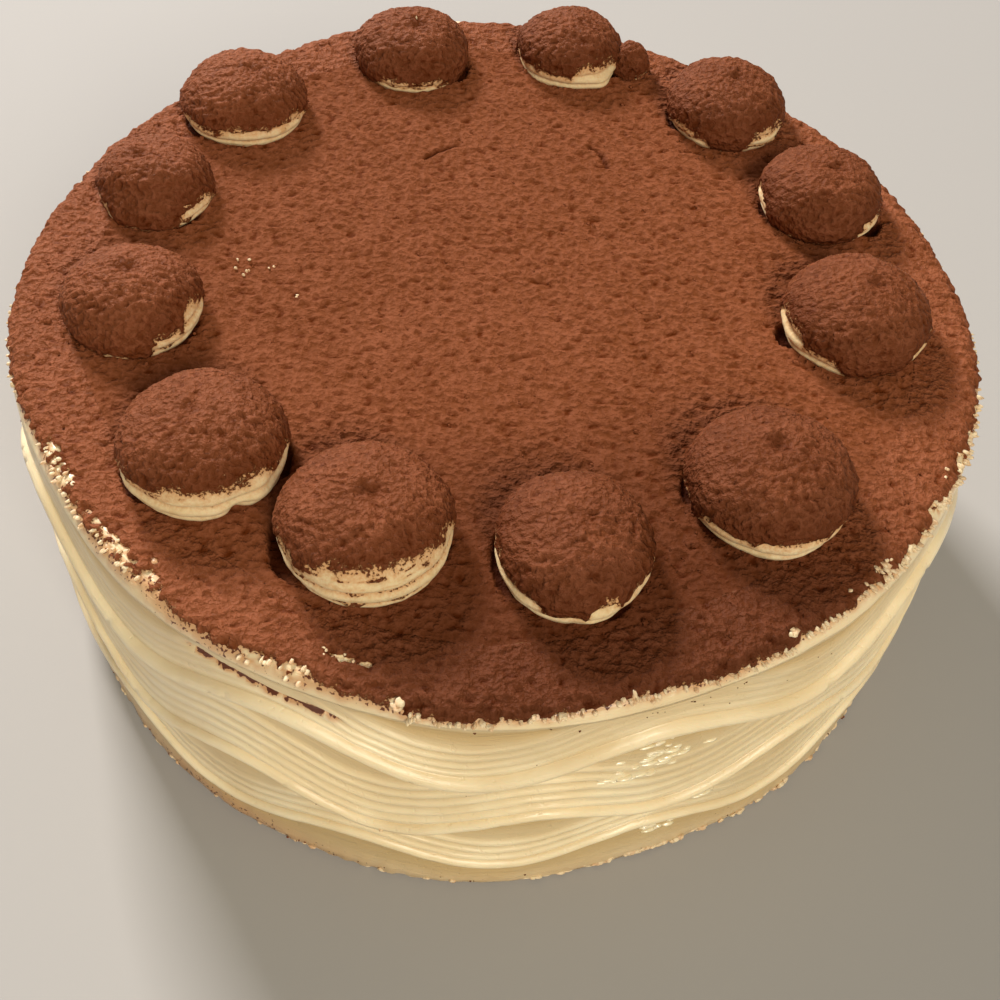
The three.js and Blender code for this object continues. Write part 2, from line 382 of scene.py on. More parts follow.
# Where cream shows through farther in: direction, millimetres in, spread in degrees and millimetres
THIN_COCOA = [
    (212, 7.5, 2.2, 2), (216, 7, 1.6, 1.8), (224, 7.5, 0.8, 1), (232, 11, 0.8, 0.9),
    (247.5, 4.4, 1.2, 1), (251.5, 5.2, 2.2, 1.3), (256, 11.4, 1, 0.8), (258.5, 12.4, 1.6, 1.1),
    (262.6, 4.8, 0.5, 1.6), (304.5, 6.6, 0.6, 1.2), (318, 6.6, 1, 1), (335, 10, 0.5, 0.8),
    (119, 4.5, 1.2, 1.5), (123, 4, 0.8, 1.2), (227, 7, 4, 1.5), (233, 8, 1.5, 1.3),
    (256, 11.5, 2.6, 0.6), (258.5, 11.9, 4, 0.6), (329, 5.2, 1, 1.2), (338, 4.4, 1, 1.2),
    (342.5, 3.8, 0.8, 1.2), (346.5, 3.4, 0.8, 1),
]


def cocoa_cover(angle, along):
    """Above 0 where cocoa covers the rim and the top, in millimetres from its ragged edge."""
    start = np.interp(np.degrees(angle), *np.transpose(list(COCOA_EDGE.items())), period=360)
    where = on_circle(angle, along * 0.45)
    ragged = 1.2 * teeth(where, 1.9, 2) + teeth(where + 50, 6, 2)
    thin = sum(
        towards(angle, at, wide) * hill(along - inward, deep)
        for at, inward, wide, deep in THIN_COCOA
    )
    speckled = thin * (1.6 + 3.4 * lumps(on_circle(angle, along), 1.9, 2))
    deep_in = smooth_step(along - start, 3, 16)
    return along - start + ragged * (1 - deep_in) - 3.2 * speckled


def cocoa_relief(points):
    """Relief of sifted cocoa, crumbs on a slow roll, and how far a point lies in a pit, 0 to 1, for
    painted shade.
    """
    crumbs = 0.8 * lumps(points * [1, 1.8, 1], 3) + 0.2 * teeth(points, 1.9)
    relief = crumbs + 0.2 * lumps(points + 60, 5.5) + 0.2 * wander(points, 12)
    return relief, smooth_step(-crumbs, 0.22, 0.52)


FRONT_SHADE_AT = (40, -125)  # x, y of the darkest painted shade, on the rim in front
FRONT_SHADE_MOST, FRONT_SHADE_WITHIN, FRONT_SHADE_UNTIL = 0.56, 35, 104  # how strong the painted shade is, and how far from there


def front_shade(points):
    """Painted shade on the cocoa of the top: it grows darker towards the rim in front."""
    distance = np.hypot(points[..., 0] - FRONT_SHADE_AT[0], points[..., 1] - FRONT_SHADE_AT[1])
    return FRONT_SHADE_MOST * smooth_step(distance + 10 * wander(points, 45, 2), FRONT_SHADE_UNTIL, FRONT_SHADE_WITHIN)


# Short cracks in the cocoa on the flat top, each a chain of x, y
CRACKS = [[(-25, 57.3), (-21.5, 61.1), (-16.4, 64.1)], [(24.8, 68.4), (28.2, 65.2), (30, 59.7)]]
CRACK_WIDE, CRACK_DEEP = 0.65, 1.1


def cracks(points):
    """How far a point lies in one of the cracks, 0 to 1."""
    deepest = np.zeros(points.shape[:-1])
    for start, end in (ends for chain in CRACKS for ends in zip(chain, chain[1:])):
        run = np.subtract(end, start)
        share = np.clip((points[..., :2] - start) @ run / (run @ run), 0, 1)
        aside = np.linalg.norm(points[..., :2] - start - share[..., None] * run, axis=-1)
        deepest = np.maximum(deepest, hill(aside, CRACK_WIDE))
    return deepest


# ---- The mounds, placed by the solids ----

class Mound:
    """One piped mound, in the place and at the size of its solid."""

    SUNK = 1  # how far its foot lies below the top

    def __init__(self, node):
        low, high = (np.array(corner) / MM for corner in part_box(node))
        self.node = node
        self.centre = (low[:2] + high[:2]) / 2
        self.reach = (high[:2] - low[:2]) / 2
        self.foot = CAKE_HEIGHT - self.SUNK
        self.tall = high[2] - self.foot
        self.look = MOUND_LOOKS[node]

    def from_centre(self, points):
        """Direction in radians, and distance as a share of the mound's own radius."""
        across = (points[..., :2] - self.centre) / self.reach
        return np.arctan2(across[..., 1], across[..., 0]), np.hypot(across[..., 0], across[..., 1])


# What differs from mound to mound. Directions are seen from the mound's own centre.
# bare: (direction, spread, share of the height) where no cocoa sticks to the side
# gap: (direction, spread, depth) where the cocoa sinks beside the foot, with painted shade in it
# bulge: (direction, spread, height share, millimetres) where the side stands out or in
# tip: (sideways, backward, depth) of the mark that the nozzle left
# streaks: how much cocoa is smeared over the bare cream
# painted light: how much lighter its cocoa is painted, about -0.5 to 1
MOUND_LOOKS = {
    "mound_01": dict(
        bare=[(-60, 55, 0.46), (-120, 40, 0.36), (205, 22, 0.34)], gap=[(210, 25, 1.2)],
        bulge=[(-30, 25, 0.3, 0.8), (-90, 50, 0.7, -0.6)], tip=(1.5, 1, 0.5), streaks=0.5, painted_lit=1,
    ),
    "mound_02": dict(
        bare=[(206, 26, 0.36), (-30, 24, 0.42), (-90, 30, 0.12)], gap=[(-40, 22, 1)],
        bulge=[(-85, 65, 0.64, -3.4), (-85, 70, 0.16, 1.3), (-20, 20, 0.3, 0.7)], tip=(-4.5, 1, 0.8),
        streaks=0.9, painted_lit=0.6,
    ),
    "mound_03": dict(
        bare=[(-12, 22, 0.55), (-48, 16, 0.42), (-95, 12, 0.2)], gap=[(-20, 30, 0.6), (215, 20, 0.6)],
        bulge=[(-85, 50, 0.62, -1.8), (-20, 22, 0.3, 0.5)], tip=(-1, 2, 0.7), streaks=0.7, painted_lit=0.8,
    ),
    "mound_04": dict(
        bare=[(-70, 55, 0.6), (-130, 35, 0.5), (-12, 22, 0.46)], gap=[(205, 30, 1.4), (5, 25, 1.4)],
        bulge=[(-38, 12, 0.3, 1.4), (-57, 7, 0.1, -2.2), (-95, 30, 0.15, 0.5)], tip=(-3, 2, 0.6),
        streaks=0.35, painted_lit=0.5,
    ),
    "mound_05": dict(
        bare=[(-80, 55, 0.66), (-145, 25, 0.52), (-22, 26, 0.58)], gap=[(188, 42, 2.6), (0, 22, 0.8)],
        bulge=[(-80, 40, 0.12, 0.8), (-85, 35, 0.55, 0.4)], tip=(0.5, 1, 0.9), streaks=0.8, painted_lit=0.4,
    ),
    "mound_06": dict(
        bare=[(-66, 14, 0.5), (-140, 34, 0.46), (180, 30, 0.5), (-100, 25, 0.3), (-18, 38, 0.46)],
        gap=[(182, 50, 1.6), (-48, 22, 0.7)],
        bulge=[(-68, 16, 0.12, 0.7), (-88, 7, 0.2, -0.7)], tip=(0, 1, 0.4), streaks=0.3, painted_lit=-0.3,
    ),
    "mound_07": dict(
        bare=[(-78, 32, 0.42), (-125, 26, 0.38), (-32, 26, 0.4), (180, 24, 0.3), (2, 20, 0.36)],
        gap=[(172, 26, 1.4), (-140, 20, 0.8)],
        bulge=[(-90, 30, 0.12, 0.6)], tip=(-1.5, 2.5, 1), streaks=0.3, painted_lit=-0.3,
    ),
    "mound_08": dict(
        bare=[(196, 26, 0.5), (-125, 18, 0.36), (-30, 22, 0.44)], gap=[(194, 16, 2.2)],
        bulge=[(205, 22, 0.2, 0.8), (-85, 35, 0.5, -0.6)], tip=(1.5, 2, 0.7), streaks=0.4, painted_lit=0.1,
    ),
    "mound_09": dict(
        bare=[(185, 18, 0.46), (-35, 18, 0.42)], gap=[(-22, 20, 2.2), (185, 18, 0.8)],
        bulge=[(-38, 16, 0.2, 1), (-95, 45, 0.6, -1.6)], tip=(1.5, 1, 0.7), streaks=0.6, painted_lit=0,
    ),
    "mound_10": dict(
        bare=[(-138, 30, 0.34), (-45, 24, 0.5)], gap=[(190, 22, 1)],
        bulge=[(-48, 20, 0.25, 1.2), (-95, 35, 0.5, -0.5)], tip=(0.5, 1, 0.7), streaks=0.8, painted_lit=0,
    ),
    "mound_11": dict(
        bare=[(-55, 34, 0.54), (-115, 38, 0.38), (-165, 22, 0.36)], gap=[(-12, 25, 1.4)],
        bulge=[(-50, 15, 0.15, 2.6)], tip=(3.5, 0.5, 0.6), streaks=0.1, painted_lit=0.1,
    ),
    "mound_12": dict(
        bare=[(-85, 38, 0.34), (185, 20, 0.24)], gap=[(-12, 28, 1.6), (190, 22, 0.6)],
        bulge=[(-85, 40, 0.62, -1.6), (-85, 30, 0.2, 0.7)], tip=(0.6, 0, 0.8), streaks=1, painted_lit=0.3,
    ),
    "mound_11_drop": dict(bare=[(-50, 30, 0.25)], gap=[], bulge=[], tip=(0, 0, 0.2), streaks=0.3, painted_lit=0),
}
MOUNDS = {node: Mound(node) for node in MOUND_LOOKS}


def beside_mounds(points):
    """Depth of the gaps beside the mounds' feet, and painted shade there and in a ring round each foot,
    0 to 1.
    """
    depth = np.zeros(points.shape[:-1])
    damp = np.zeros(points.shape[:-1])
    ragged = 0.25 * teeth(points, 4, 2)
    for mound in MOUNDS.values():
        direction, share = mound.from_centre(points)
        outside = (share - 0.92) * mound.reach.mean() + ragged
        # painted shade in a ring round each mound's foot
        damp = np.maximum(damp, 0.3 * hill(np.maximum(outside, 0), 1.8))
        for at, spread, deep in mound.look["gap"]:
            facing = smooth_step(towards(direction, at, spread), 0.15, 0.9)
            trench = facing * smooth_step(1.7 * deep * facing - outside, 0, 0.6) * (outside > -6)
            depth = np.maximum(depth, deep * trench)
            # painted shade in the gaps
            damp = np.maximum(damp, trench)
    return depth, damp


# ---- Materials ----

class Shader:
    """A material with one Principled shader and short ways to add nodes."""

    def __init__(self, name, **constants):
        self.material = bpy.data.materials.new(name)
        self.material.use_nodes = True
        self.tree = self.material.node_tree
        self.surface = self.tree.nodes["Principled BSDF"]
        for socket, value in constants.items():
            self.surface.inputs[socket.replace("_", " ")].default_value = value

    def plug(self, value, socket):
        """Links a socket, or sets a number or a linear (r, g, b)."""
        if isinstance(value, bpy.types.NodeSocket):
            self.tree.links.new(value, socket)
        elif isinstance(value, tuple):
            socket.default_value = (*value, 1)
        else:
            socket.default_value = value

    def finish(self, **links):
        """Plugs values in the surface and gives the material."""
        for socket, value in links.items():
            self.plug(value, self.surface.inputs[socket.replace("_", " ")])
        return self.material

    def node(self, kind, inputs, **settings):
        node = self.tree.nodes.new(kind)
        for key, value in settings.items():
            setattr(node, key, value)
        for key, value in inputs.items():
            self.plug(value, node.inputs[key])
        return node

    def attribute(self, name, output="Fac"):
        return self.node("ShaderNodeAttribute", {}, attribute_name=name).outputs[output]

    def noise(self, size, detail=2, roughness=0.5, vector=None):
        """Noise from 0 to 1 with features about `size` millimetres across."""
        place = vector or self.node("ShaderNodeTexCoord", {}).outputs["Object"]
        inputs = {"Vector": place, "Scale": 1 / (size * MM), "Detail": detail, "Roughness": roughness}
        return self.node("ShaderNodeTexNoise", inputs).outputs["Fac"]

    def add(self, first, second, share=1):
        """First and a share of the second. A share below 0 takes it away."""
        inputs = {0: second, 1: share, 2: first}
        return self.node("ShaderNodeMath", inputs, operation="MULTIPLY_ADD").outputs[0]

    def ramp(self, value, low, high, to_low=0, to_high=1):
        """Value from low to high mapped to to_low to to_high, held at the ends."""
        inputs = {"Value": value, "From Min": low, "From Max": high, "To Min": to_low, "To Max": to_high}
        return self.node("ShaderNodeMapRange", inputs, interpolation_type="SMOOTHSTEP").outputs["Result"]

    def mix(self, factor, first, second):
        """Blend of two colours."""
        return self.node("ShaderNodeMix", {0: factor, 6: first, 7: second}, data_type="RGBA").outputs[2]

    def bump(self, height, distance):
        inputs = {"Height": height, "Distance": distance * MM}
        return self.node("ShaderNodeBump", inputs).outputs["Normal"]


def from_srgb(*channels):
    """Linear colour from 0 to 255 values as seen on a screen."""
    share = np.array(channels) / 255
    linear = np.where(share <= 0.04045, share / 12.92, ((share + 0.055) / 1.055) ** 2.4)
    return tuple(linear.tolist())


# COCOA_LIGHT and COCOA_DARK: painted light on the crumbs' crests and painted shade between them
COCOA_LIGHT = from_srgb(146, 86, 57)
COCOA_DARK = from_srgb(119, 65, 35)
# cocoa colour for painted shade in pits and cracks; also the colour of cocoa flecks on the cream
COCOA_PIT = from_srgb(96, 43, 13)
# cocoa colour for painted shade: in gaps, round and low on the mounds, in cracks and towards the front
COCOA_SHADED = from_srgb(48, 14, 2)
CREAM_MID = from_srgb(238, 217, 174)
CREAM_LIGHT = from_srgb(248, 231, 192)
# cream colour for painted shade in troughs, under lips and in pits
CREAM_SHADED = from_srgb(204, 175, 122)
# cream under cocoa dust; low on the side it also stands for painted shade
CREAM_DUST_AND_SHADE = from_srgb(200, 138, 84)


def cocoa_look(shader):
    """Colour and fine relief of cocoa, with random mottling, its crumbs given painted light and shade,
    and more painted shade in pits, gaps, low on mounds and towards the front.
    """
    mottle = shader.ramp(shader.noise(16), 0.3, 0.7, -0.12, 0.12)
    # the bump's own noise: the crumbs' crests painted lighter and the hollows between them painted
    # darker, plus random mottling
    crumbs = shader.ramp(shader.noise(1.5), 0.25, 0.75)
    painted_lit = shader.mix(shader.add(crumbs, mottle), COCOA_DARK, COCOA_LIGHT)
    pitted = shader.mix(shader.attribute("hollow"), painted_lit, COCOA_PIT)
    return shader.mix(shader.attribute("damp"), pitted, COCOA_SHADED), crumbs


def cream_colour(shader, hollow):
    """Warm ivory of whipped cream with random clouding, darker and yellower as painted shade where the
    cream lies in: in troughs, under lips and in pits.
    """
    cloud = shader.ramp(shader.noise(22, 3), 0.35, 0.7)
    return shader.mix(hollow, shader.mix(cloud, CREAM_MID, CREAM_LIGHT), CREAM_SHADED)


def cocoa_material():
    """Cocoa powder lying thick on the top."""
    shader = Shader("cocoa", Roughness=0.7, Specular_IOR_Level=0.03, Diffuse_Roughness=0.5)
    colour, crumbs = cocoa_look(shader)
    return shader.finish(Base_Color=colour, Normal=shader.bump(crumbs, 0.5))


# How light goes into bare cream
SOFT_CREAM = dict(Subsurface_Weight=0.1, Subsurface_Radius=(1, 0.6, 0.35))


def dusted_cream_material():
    """Cream that carries cocoa where the attribute `cover` is above 0, with a ragged edge."""
    shader = Shader(
        "dusted_cream", Specular_IOR_Level=0.06, Subsurface_Weight=0.1, Subsurface_Scale=0.003,
        Subsurface_Radius=(1, 0.55, 0.3),
    )
    cover = shader.attribute("cover")
    fine = shader.ramp(shader.noise(0.8, 3, 0.65), 0.25, 0.75, -1.5, 1.5)
    coarse = shader.ramp(shader.noise(2.6, 2, 0.6), 0.25, 0.75, -0.8, 0.8)
    fray = shader.add(fine, coarse)
    covered = shader.ramp(shader.add(cover, fray), -0.7, 0.6)
    powder, crumbs = cocoa_look(shader)
    # painted shade in pits and dimples, at six tenths of its strength
    cream = cream_colour(shader, shader.add(0, shader.attribute("hollow"), 0.6))
    dusting = shader.ramp(shader.add(cover, fray, 0.6), -4.5, 0.6, 0, 0.85)
    rough = shader.add(0, crumbs, shader.ramp(covered, 0, 1, 0.15, 1))
    return shader.finish(
        Base_Color=shader.mix(covered, shader.mix(dusting, cream, CREAM_DUST_AND_SHADE), powder),
        Roughness=shader.ramp(covered, 0, 1, 0.42, 0.62),
        Normal=shader.bump(shader.add(rough, covered, 0.25), 0.6),
    )


def combed_cream_material():
    """Cream spread with a comb: fine drag lines along the strokes, wet where it is torn."""
    shader = Shader(
        "combed_cream", Specular_IOR_Level=0.5, Coat_Weight=0.25, Coat_Roughness=0.3,
        Subsurface_Scale=0.0015, **SOFT_CREAM,
    )
    cream = cream_colour(shader, shader.attribute("hollow"))
    dust = shader.attribute("dust")
    # cocoa dust, and painted shade low on the side, tint the cream brown
    tinted = shader.mix(shader.ramp(dust, 0, 1.6, 0, 0.75), cream, CREAM_DUST_AND_SHADE)
    flecks = shader.ramp(shader.add(shader.noise(1), dust, 0.2), 0.8, 0.87)
    wet = shader.ramp(shader.attribute("wet"), 0, 0.6, 0.42, 0.16)
    patchy = shader.ramp(shader.noise(18), 0.4, 0.7, 0, 0.1)
    drag = shader.noise(1, 3, 0.6, shader.attribute("stroke", "Vector"))
    pores = shader.ramp(shader.noise(1.6), 0.2, 0.42)
    return shader.finish(
        Base_Color=shader.mix(flecks, tinted, COCOA_PIT),
        Roughness=shader.add(wet, patchy, -1),
        Normal=shader.bump(shader.add(drag, pores, 0.3), 0.34),
    )


# ---- The cake's pieces ----

DUST_AND_SHADE_AT = 238  # direction where the cream is darkest: most cocoa dust on the rim, most painted shade low on the side
DRAG_RADIUS = 12  # of the circle that the drag lines' noise runs round
FLAT_ROWS = [1, 2.2, 3.6, 6, 10, 18]  # the cream's rows on the flat top, inward from the shoulder
CREAM_SUNK, MIDDLE_SUNK = 3.4, 4  # how far it lies below the top under the cocoa, and in the middle


def side_dust(angle, height):
    """Cocoa dust on the side, in the groove and under the rim; low down, darker towards the foot, partly
    dust and partly painted shade, most in one direction.
    """
    low = (0.5 + 0.9 * towards(angle, DUST_AND_SHADE_AT, 18)) * hill(height, 8)
    broken = smooth_step(teeth(on_circle(angle, 0), 3, 2), -0.55, 0.1)
    high = 0.18 * smooth_step(height, 62, SHOULDER_FOOT)
    return low + high + 5.4 * broken * groove(angle, height) ** 1.4


def rim_dust(angle, cover):
    """Cocoa dust on the bare cream of the rim, denser towards the cocoa's edge."""
    reach = 2.5 + 4 * towards(angle, DUST_AND_SHADE_AT, 16)
    return 0.18 + 1.3 * smooth_step(cover, -reach, 0.6)


def make_cream_body(material):
    """The frosted body: combed side, rounded rim and the top under the cocoa, one closed shell."""
    angle = ring_angles(AROUND)
    height, out, level = side_rows(angle)
    relief = cream_relief(angle, height, out) * smooth_step(height, 0, 3)
    radius = (CAKE_RADIUS + out + relief) * (1 + outline(angle, height) / CAKE_RADIUS)
    side = on_circle(angle, height, radius)

    flat = SHOULDER_ARC + np.array(FLAT_ROWS)
    along = np.concatenate([np.linspace(0.4, SHOULDER_ARC, 14), flat])[:, None]
    cover = cocoa_cover(angle, along)
    sunk = CREAM_SUNK * smooth_step(cover, 2.5, 6) * smooth_step(along, 5, 8)
    rim = shoulder(angle, along, rim_relief(angle, along) - sunk)
    middles = [[0, 0, CAKE_HEIGHT - MIDDLE_SUNK], [0, 0, 0]]
    faces = shell_faces(len(side) + len(rim), AROUND)

    def for_all(on_side, on_rim):
        """One number for each point: the side's, the rim's and the two middles'."""
        side_values = np.broadcast_to(on_side, height.shape)
        rim_values = np.broadcast_to(on_rim, cover.shape)
        return np.concatenate([side_values.ravel(), rim_values.ravel(), [0, 0]])

    turn, rise = for_all(angle, angle), for_all(level, 95 + along)
    mesh = make_mesh(
        "cream_body", np.concatenate([side.reshape(-1, 3), rim.reshape(-1, 3), middles]), faces,
        # painted shade: the cream darker where it lies in, in the comb's troughs and under the lips, and
        # a little on the rim
        hollow=for_all(np.clip(0.55 - 0.75 * out, 0, 1), 0.1),
        dust=for_all(side_dust(angle, height), rim_dust(angle, cover)),
        wet=for_all(torn(angle, height), 0),
        stroke=on_circle(turn, rise, DRAG_RADIUS) * MM,
    )
    add_piece(mesh, material)


COCOA_THICK = 0.7
COCOA_TUCK = 0.5  # how far it lies under the cream where the cream is bare


def cocoa_lift(ground, cover):
    """Height of the cocoa over the cream, and the numbers that its material needs."""
    relief, pits = cocoa_relief(ground)
    gap, damp = beside_mounds(ground)
    crack = cracks(ground)
    covered = smooth_step(cover, -0.6, 1)
    lift = covered * (COCOA_THICK + relief - gap - CRACK_DEEP * crack) - COCOA_TUCK * (1 - covered)
    # painted shade: beside the mounds, in the cracks and towards the front
    damp = np.maximum(np.maximum(0.95 * damp, 0.4 * crack), front_shade(ground))
    # painted shade in the pits and the cracks
    return lift, dict(cover=cover + 0.4, hollow=np.maximum(pits, crack), damp=damp)


COCOA_FROM = 0.3  # where the ring starts, inward from the shoulder's foot
COCOA_JOIN, COCOA_OVERLAP = 19, 3  # where the top's edge is, and how far the ring goes on under it
JOIN_DIP = 0.3  # and how much lower the top's edge lies
RING_STEP, TOP_STEP = 0.62, 0.66  # spacing of their points
RING_UNDER, TOP_UNDER = 5.5, 4.5  # how far their undersides lie below the top


def make_cocoa_rim(material):
    """The cocoa's outer ring, down over the shoulder to its ragged edge: a closed ring."""
    angle = ring_angles(AROUND_RIM)
    along = np.arange(COCOA_FROM, COCOA_JOIN + COCOA_OVERLAP, RING_STEP)[:, None]
    relief = rim_relief(angle, along)
    lift, numbers = cocoa_lift(shoulder(angle, along, relief), cocoa_cover(angle, along))
    upper = shoulder(angle, along, relief + lift)
    under_along = np.array([along[-1, 0], 12, 4, COCOA_FROM])[:, None]
    lower = shoulder(angle, under_along, -RING_UNDER)
    rows = np.concatenate([upper, lower])
    hidden = np.zeros(len(lower) * AROUND_RIM)
    numbers = {key: np.concatenate([values.ravel(), hidden]) for key, values in numbers.items()}
    faces = grid_faces(len(rows), AROUND_RIM, closed=True)
    mesh = make_mesh("cocoa_rim", rows.reshape(-1, 3), [faces], **numbers)
    add_piece(mesh, material)


def close_below(mesh, height):
    """Gives an open sheet a wall round its edge and a flat underside at a height."""
    work = bmesh.new()
    work.from_mesh(mesh)
    edges = [edge for edge in work.edges if edge.is_boundary]
    for part in bmesh.ops.extrude_edge_only(work, edges=edges)["geom"]:
        if isinstance(part, bmesh.types.BMVert):
            part.co.z = height * MM
    bmesh.ops.holes_fill(work, edges=[edge for edge in work.edges if edge.is_boundary])
    bmesh.ops.recalc_face_normals(work, faces=work.faces)
    work.to_mesh(mesh)
    work.free()


def make_cocoa_top(material):
    """The cocoa on the flat top, on a square grid trimmed to a circle inside the outer ring."""
    half = int(CAKE_RADIUS / TOP_STEP)
    x, y = np.meshgrid(*[np.arange(-half, half + 1) * TOP_STEP] * 2)
    angle, radius = np.arctan2(y, x), np.hypot(x, y)
    radius = radius / (1 + outline(angle, CAKE_HEIGHT) / CAKE_RADIUS)
    along = FLAT_REACH - radius
    relief = top_relief(angle, along)
    lift, numbers = cocoa_lift(shoulder(angle, along, relief), cocoa_cover(angle, along))
    lift = lift - JOIN_DIP * smooth_step(along, COCOA_JOIN + 0.8 * COCOA_OVERLAP, COCOA_JOIN)
    points = shoulder(angle, along, relief + lift)
    number = np.arange(along.size).reshape(along.shape)
    corners = np.stack([number[:-1, :-1], number[:-1, 1:], number[1:, 1:], number[1:, :-1]], axis=-1)
    inside = (along.ravel()[corners] > COCOA_JOIN).all(axis=-1)
    used, faces = np.unique(corners[inside], return_inverse=True)
    numbers = {key: values.ravel()[used] for key, values in numbers.items()}
    mesh = make_mesh("cocoa_top", points.reshape(-1, 3)[used], [faces.reshape(-1, 4)], **numbers)
    close_below(mesh, CAKE_HEIGHT - TOP_UNDER)
    add_piece(mesh, material)


# ---- The mounds ----

MOUND_WIDEST = 0.34  # share of the height where a mound is widest
WIDEST_ROW = 0.3  # and share of its rows
MOUND_FOOT = 0.86  # share of the radius at its foot
MOUND_FULL = 2.2  # 2 is an ellipse; more is flatter on top
MOUND_DOME = 0.96  # share of the height where the dome ends, under the nozzle's mark
FOLDS_AT, FOLD_WIDE, BULGE_TALL = (0.2, 0.38), 0.035, 0.22  # shares of the height
BARE_LEAST = 0.08  # share of the height that is bare all round
MOUND_MESH, DROP_MESH = (156, 60), (56, 24)  # points round it, and rows of them
LARGEST_DROP = 8  # radius
MOUND_COCOA_THICK = 0.45
MOUND_FINER, MOUND_FLATTER = 1.5, 0.75  # its cocoa beside that on the top
MOUND_SHADE, SHADE_LIFT = 0.37, 0.2  # painted shade on its cocoa, and how much less where the painted light is 1


def mound_profile(turn):
    """Share of the radius and of the height, from the foot at 0 to the peak at 1."""
    below = np.clip(turn / WIDEST_ROW, 0, 1)
    climb = np.clip((turn - WIDEST_ROW) / (1 - WIDEST_ROW), 0, 1) * (math.pi / 2)
    drawn_in = MOUND_FOOT + (1 - MOUND_FOOT) * np.sin(below * math.pi / 2)
    share = np.where(below < 1, drawn_in, np.cos(climb) ** (2 / MOUND_FULL))
    dome = MOUND_WIDEST + (MOUND_DOME - MOUND_WIDEST) * np.sin(climb) ** (2 / MOUND_FULL)
    return share, np.where(below < 1, MOUND_WIDEST * below, dome)


def mound_folds(where, level):
    """The level creases low on a mound, 0 to 1."""
    shift = 0.03 * wander(where, 13)
    return sum(hill(level - fold - shift, FOLD_WIDE) for fold in FOLDS_AT)


def mound_cover(mound, where, angle, level):
    """Above 0 where cocoa covers a mound, in millimetres from its ragged edge."""
    bare = BARE_LEAST + 0 * angle
    for at, spread, high in mound.look["bare"]:
        facing = smooth_step(towards(angle, at, spread * 1.15), 0.08, 0.8)
        bare = np.maximum(bare, high * facing)
    cover = (level - bare) * mound.tall * 1.1 + teeth(where, 3.4, 3) + 0.8 * lumps(where, 9)
    streaks = smooth_step(teeth(where * [0.3, 0.3, 1.5], 1.5, 2), 0.1, 0.6)
    cover = cover + 3 * streaks * mound.look["streaks"]
    folds = mound_folds(where, level) + hill(level, 0.04)
    caught = folds * (1.2 + lumps(where, 8)) * mound.look["streaks"]
    return np.maximum(cover, 3.4 * caught - 3.6)


def mound_tip(mound, where, level):
    """Rise of the nozzle's mark on top, and how far a point lies in its dimple, for painted shade."""
    sideways, backward, deep = mound.look["tip"]
    aside = where[..., 0] - mound.centre[0] - sideways
    behind = where[..., 1] - mound.centre[1] - backward
    upper = smooth_step(level, 0.55, 0.75)
    ragged = 0.9 * lumps(where, 3.4)
    dimple = hill(np.hypot(aside - 1.2, (behind + 1.4) * 1.3) + ragged, 2.8) * upper
    peak = hill(np.hypot(aside + 0.6, behind - 1), 2.6) * upper
    return deep * (1.5 * peak - 1.4 * dimple), dimple * min(deep, 1)


def make_mound(mound, material):
    """A piped mound: an uneven dome with a drawn-in foot, cocoa above and bare cream low down."""
    radius = mound.reach.mean()
    around, rows = DROP_MESH if radius < LARGEST_DROP else MOUND_MESH
    angle = ring_angles(around)[None, :]
    share, level = (values + 0 * angle for values in mound_profile(np.linspace(0, 1, rows)[:, None]))
    for at, spread, high, amount in mound.look["bulge"]:
        share = share + amount / radius * towards(angle, at, spread) * hill(level - high, BULGE_TALL)
    where = on_circle(angle, level, share) * [*mound.reach, mound.tall] + [*mound.centre, mound.foot]
    cover = mound_cover(mound, where, angle, level)
    covered = smooth_step(cover, -0.6, 0.8)
    relief, pits = cocoa_relief(MOUND_FINER * where + 31)
    powder = MOUND_COCOA_THICK + MOUND_FLATTER * relief
    cream = 0.2 * lumps(where, 4, 2) - mound_folds(where, level)
    lift = 0.6 * wander(where, 14, 2) + covered * powder + (1 - covered) * cream
    outward = on_circle(angle, 1.5 * np.clip(level - MOUND_WIDEST, 0, 1), share)
    points = where + lift[..., None] * outward / np.linalg.norm(outward, axis=-1, keepdims=True)
    rise, dimple = mound_tip(mound, where, level)
    points[..., 2] += rise

    # painted shade: in the cocoa's pits, in the nozzle's dimple and low on the mound near the bare cream
    hollow = 0.8 * pits + 0.6 * dimple + 0.45 * smooth_step(8 - cover, 0, 7)
    # painted shade over the mound: less on its upper part and where painted light is set, more at its
    # foot, with random variation
    damp = MOUND_SHADE - SHADE_LIFT * mound.look["painted_lit"] - 0.13 * smooth_step(level, 0.5, 0.95)
    damp = damp + 0.2 * hill(level, 0.07) + 0.1 * wander(where, 9)
    ends = [points[-1].mean(axis=0), [*mound.centre, mound.foot]]

    def for_all(values, peak):
        return np.concatenate([values[:-1].ravel(), [peak, 0]])

    mesh = make_mesh(
        mound.node + "_piped", np.concatenate([points[:-1].reshape(-1, 3), ends]),
        shell_faces(rows - 1, around),
        cover=for_all(cover, 3), hollow=for_all(np.clip(hollow, 0, 1), 0.2), damp=for_all(damp, 0.45),
    )
    add_piece(mesh, material, mound.node)


# ---- Bits of cream and grains of cocoa ----

BALL_UNEVEN = 0.45  # how uneven a ball is, as a share of its radius


def ball(rings, sides):
    """Points and faces of a ball of radius 1 made of rings, with a point at each pole."""
    tilt = np.arange(1, rings)[:, None] * (math.pi / rings)
    turn = ring_angles(sides)
    flat = on_circle(turn, -np.cos(tilt), np.sin(tilt)).reshape(-1, 3)
    return np.concatenate([flat, [[0, 0, 1], [0, 0, -1]]]), shell_faces(rings - 1, sides)


